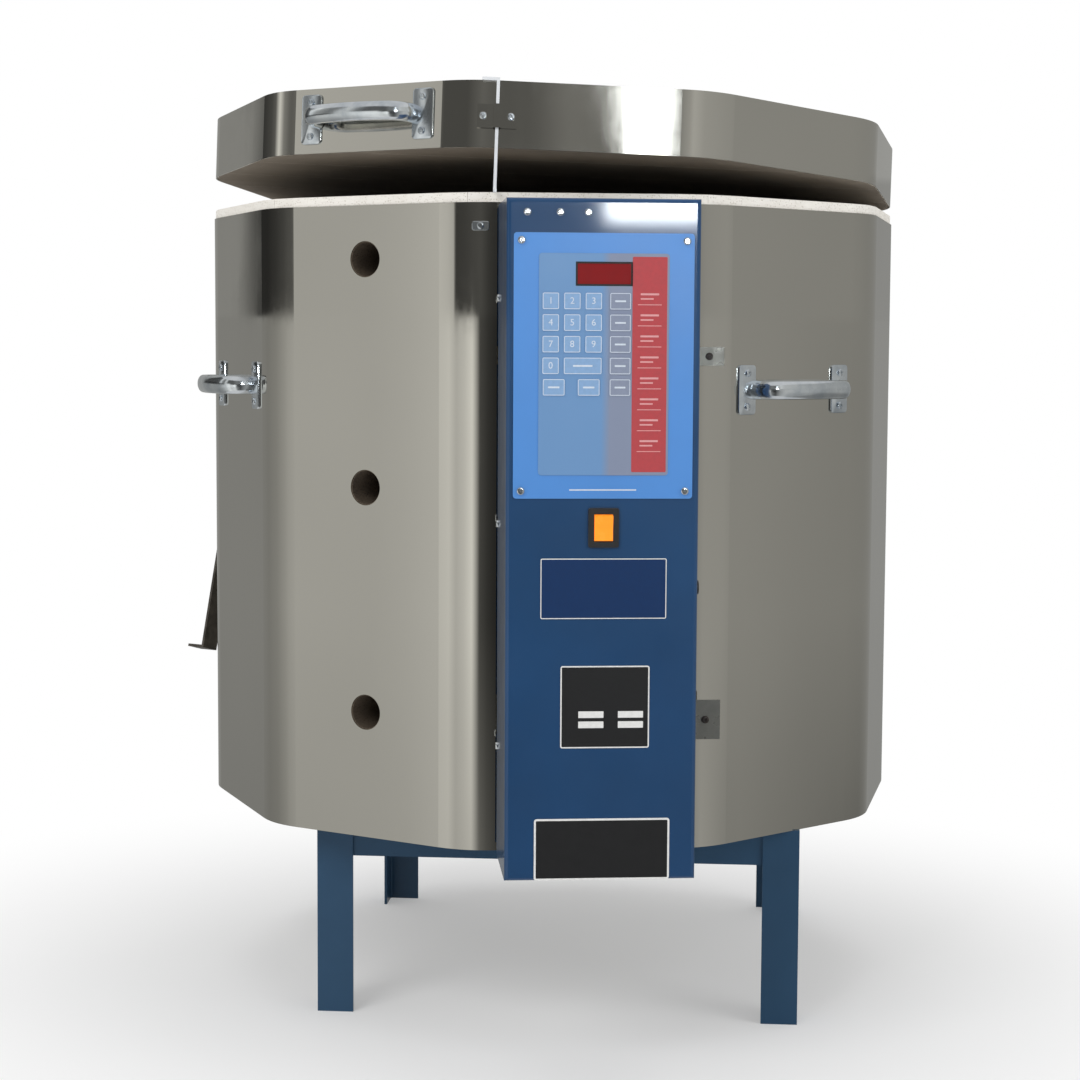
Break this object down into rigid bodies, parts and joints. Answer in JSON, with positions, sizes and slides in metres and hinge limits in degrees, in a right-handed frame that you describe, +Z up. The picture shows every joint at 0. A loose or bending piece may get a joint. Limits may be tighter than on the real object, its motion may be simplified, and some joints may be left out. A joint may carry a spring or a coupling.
{
  "type": "electric kiln",
  "caption": "Top-loading polygonal electric kiln: firebrick wall in a steel jacket, hinged lid set ajar, pull handles, angle-iron stand and tall front control box with keypad.",
  "frame": {"origin": "on the floor, under the middle of the kiln's overall outline", "axes": "+Z up, -Y out of the facet that carries the control box, +X to the right seen from the front"},
  "size_m": [0.8093, 0.8934, 0.9654],
  "materials": {
    "navy_paint": "semi-gloss enamel",
    "firebrick": "dry, porous",
    "element_wire": "oxidised",
    "white_ceramic": "unglazed",
    "stainless": "mill finish",
    "zinc": "bright zinc",
    "bare_bar": "dull",
    "panel_paint": "satin",
    "keypad_print": "printed film",
    "display_red": "dark red window",
    "black_plastic": "moulded",
    "amber": "translucent, lit",
    "circuit_board": "board",
    "iron_core": "varnished",
    "black_rubber": "matt"
  },
  "bodies": {
    "kiln_body": {"stand_leg_1": "navy_paint", "stand_leg_2": "navy_paint", "stand_leg_3": "navy_paint", "stand_leg_4": "navy_paint", "stand_rail_1": "navy_paint", "stand_rail_2": "navy_paint", "stand_rail_3": "navy_paint", "stand_rail_4": "navy_paint", "floor_pan": "stainless", "floor_slab": "firebrick", "brick_course_1": "firebrick", "brick_course_2": "firebrick", "brick_course_3": "firebrick", "brick_course_4": "firebrick", "brick_course_5": "firebrick", "element_1": "element_wire", "element_2": "element_wire", "element_3": "element_wire", "element_4": "element_wire", "element_5": "element_wire", "element_insulators": "white_ceramic", "thermocouple": "stainless", "jacket": "stainless", "jacket_seam": "stainless", "jacket_screws": "zinc", "body_handle_left": "zinc", "body_handle_right": "zinc", "hinge_base": "zinc", "hinge_pin": "zinc", "control_back": "navy_paint", "standoff_brackets": "stainless", "heat_baffle": "stainless", "control_cover": "navy_paint", "box_screws": "zinc", "keypad_plate": "panel_paint", "keypad_film": "keypad_print", "display_window": "display_red", "rocker_bezel": "black_plastic", "fuse_holder": "black_plastic", "controller_board": "circuit_board", "relays": "black_plastic", "terminal_block": "black_plastic", "transformer": "iron_core", "cord_bushing": "black_rubber"},
    "lid": {"lid_slab": "firebrick", "lid_band": "stainless", "lid_handle": "zinc", "lid_screws": "zinc", "hinge_leaf": "zinc", "prop_keeper": "zinc", "arm_pivot": "zinc"},
    "strip": {"prop_strip": "zinc"},
    "arm": {"support_arm": "bare_bar"},
    "rocker": {"power_rocker": "amber"},
    "cap": {"fuse_cap": "black_plastic"}
  },
  "joints": [
    {"name": "lid_hinge", "type": "hinge", "parent": "kiln_body", "child": "lid", "pos_m": [0.24607, 0.38428, 0.8694], "axis": [-0.809, 0.5878, 0], "range_deg": [-3.3, 85]},
    {"name": "prop_slide", "type": "slide", "parent": "lid", "child": "strip", "axis": [0.0338, 0.0466, 0.9983], "range_m": [0, 0.042]},
    {"name": "arm_swing", "type": "hinge", "parent": "lid", "child": "arm", "pos_m": [-0.29123, 0.3027, 0.91145], "axis": [-0.809, 0.5878, 0], "range_deg": [-100, 20]},
    {"name": "rocker_tip", "type": "hinge", "parent": "kiln_body", "child": "rocker", "pos_m": [0.02159, -0.44041, 0.5395], "axis": [1, 0, 0], "range_deg": [-14, 0]},
    {"name": "fuse_cap_turn", "type": "hinge", "parent": "kiln_body", "child": "cap", "pos_m": [0.11009, -0.35566, 0.475], "axis": [1, 0, 0], "range_deg": [0, 45]}
  ]
}
